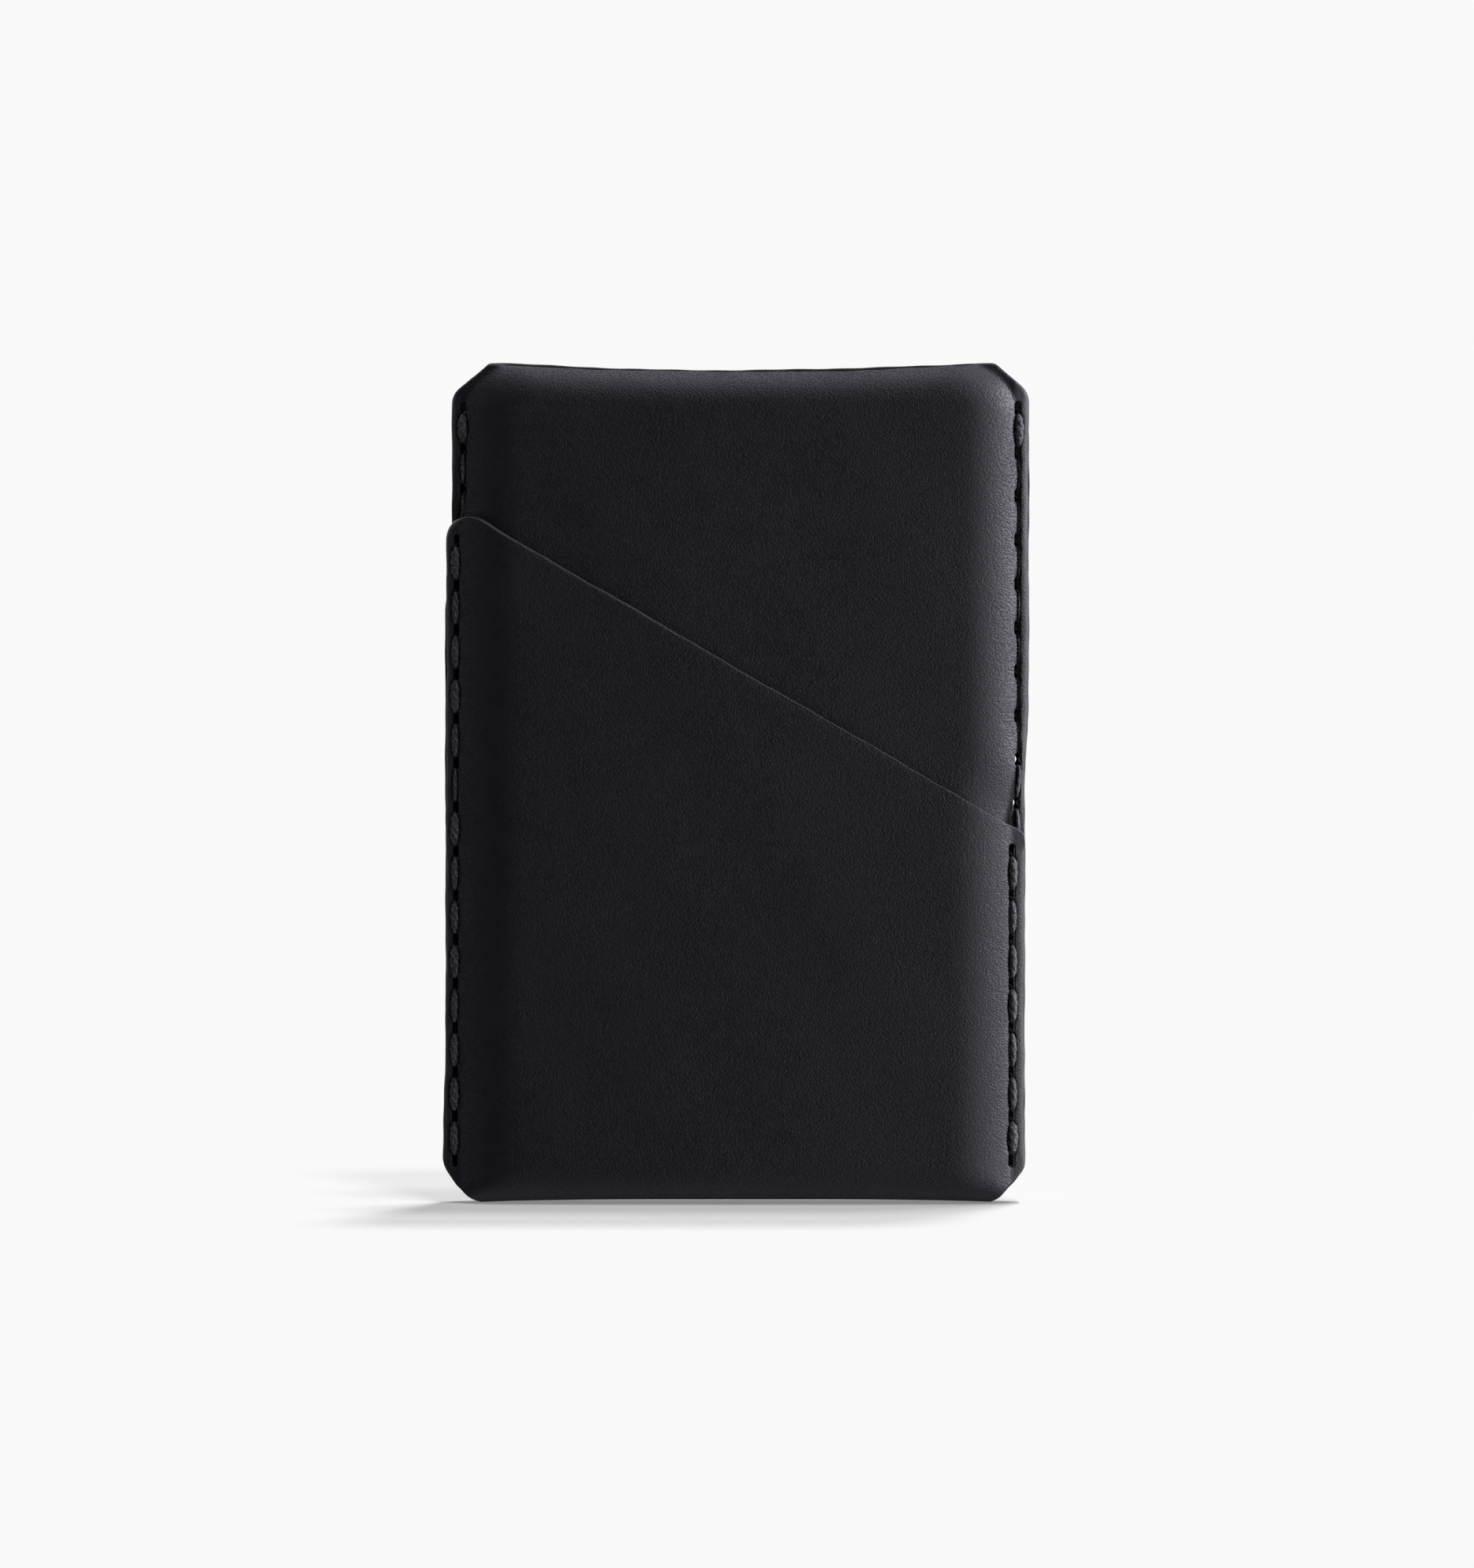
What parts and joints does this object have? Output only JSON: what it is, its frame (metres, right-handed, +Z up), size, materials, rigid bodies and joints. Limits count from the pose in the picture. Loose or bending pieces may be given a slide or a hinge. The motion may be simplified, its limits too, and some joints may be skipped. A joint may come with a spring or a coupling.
{
  "type": "card holder",
  "caption": "Slim upright moulded leather card holder with a main compartment open at the top and a slanted front pocket, saddle stitched down both sides.",
  "frame": {"origin": "middle of the bounding box's bottom, under the bottom fold", "axes": "+Z up from the bottom fold to the main mouth, +Y out of the back, +X to the right as the pocket is seen"},
  "size_m": [0.0706, 0.0098, 0.1015],
  "materials": {
    "leather": "satin black vegetable-tanned leather with a fine grain and burnished edges",
    "thread": "waxed charcoal linen thread"
  },
  "bodies": {
    "root": {"outer_wrap": "leather", "inner_panel": "leather", "left_seam_thread": "thread", "right_seam_thread": "thread"}
  },
  "joints": []
}
